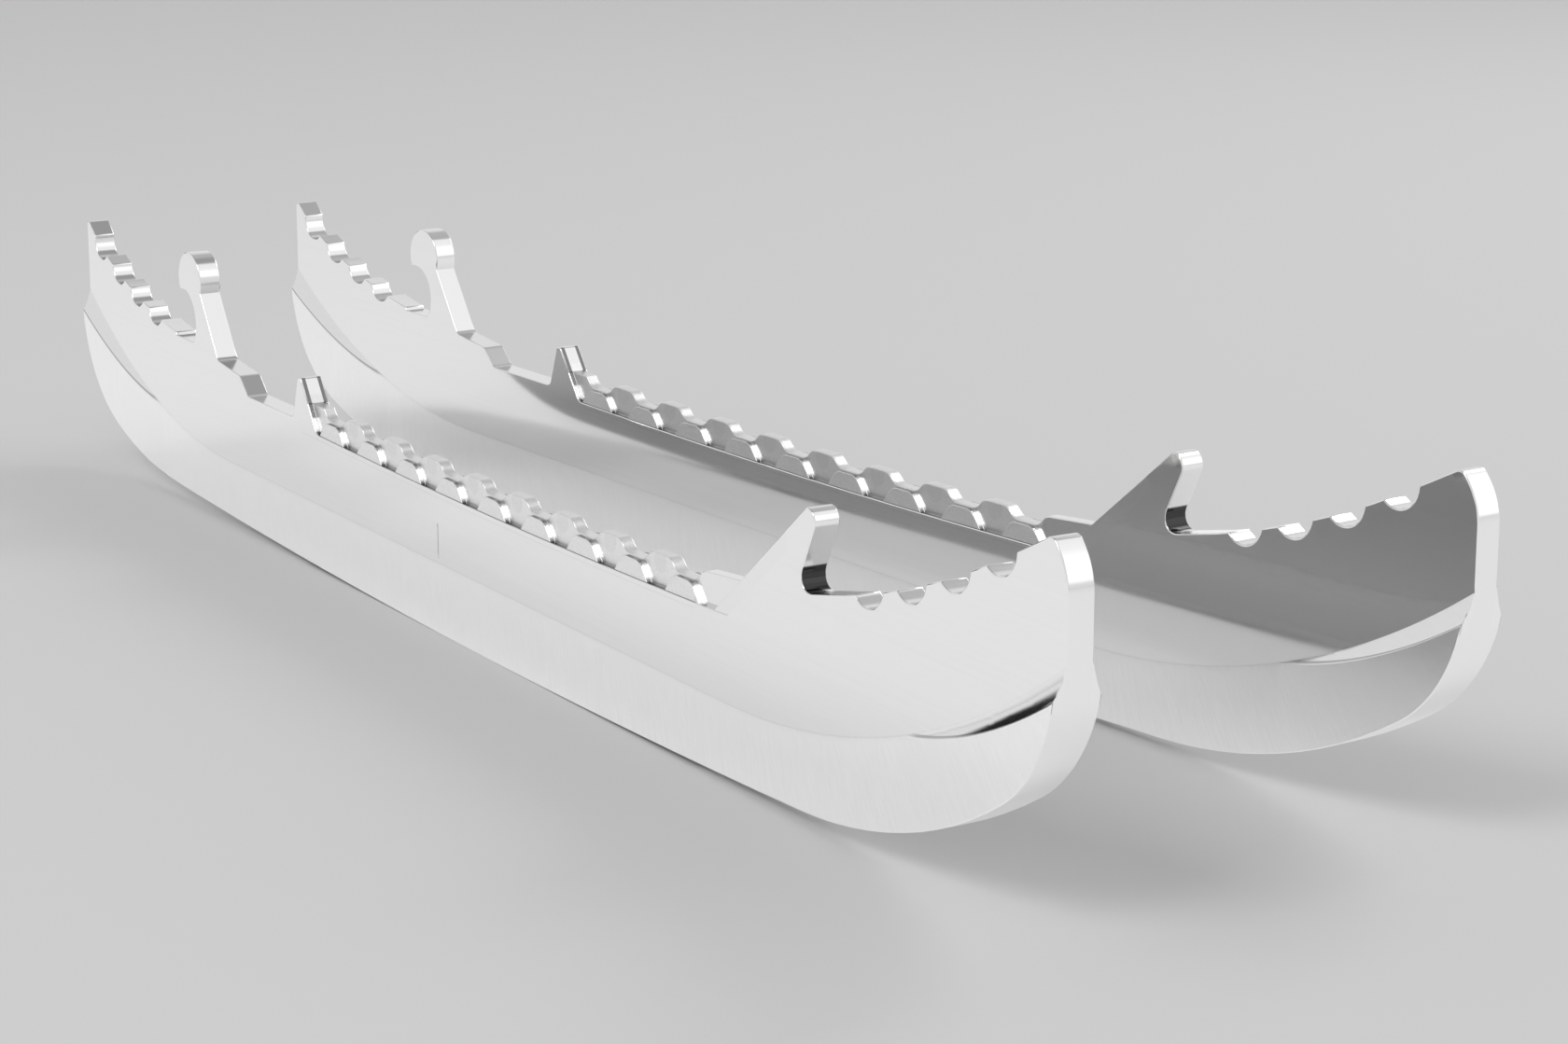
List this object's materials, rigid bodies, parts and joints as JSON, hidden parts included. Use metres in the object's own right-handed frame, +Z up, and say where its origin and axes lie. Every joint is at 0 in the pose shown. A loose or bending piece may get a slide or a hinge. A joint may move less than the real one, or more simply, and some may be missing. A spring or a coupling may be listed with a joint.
{
  "type": "goaltender ice skate runners",
  "caption": "Goaltender's ice skate runners: flat steel blades with a toe hook, a latch post, a waved and pocketed top edge, scooped ends and flared running bands, standing side by side.",
  "frame": {"origin": "on the ice, midway between the runners at half their length", "axes": "+X towards the toes, +Y towards the left runner, +Z up from the ice"},
  "size_m": [0.28, 0.0622, 0.0445],
  "materials": {
    "runner_steel": "satin polished plate over a ground running band"
  },
  "bodies": {
    "root": {"right_runner": "runner_steel", "left_runner": "runner_steel"}
  },
  "joints": []
}
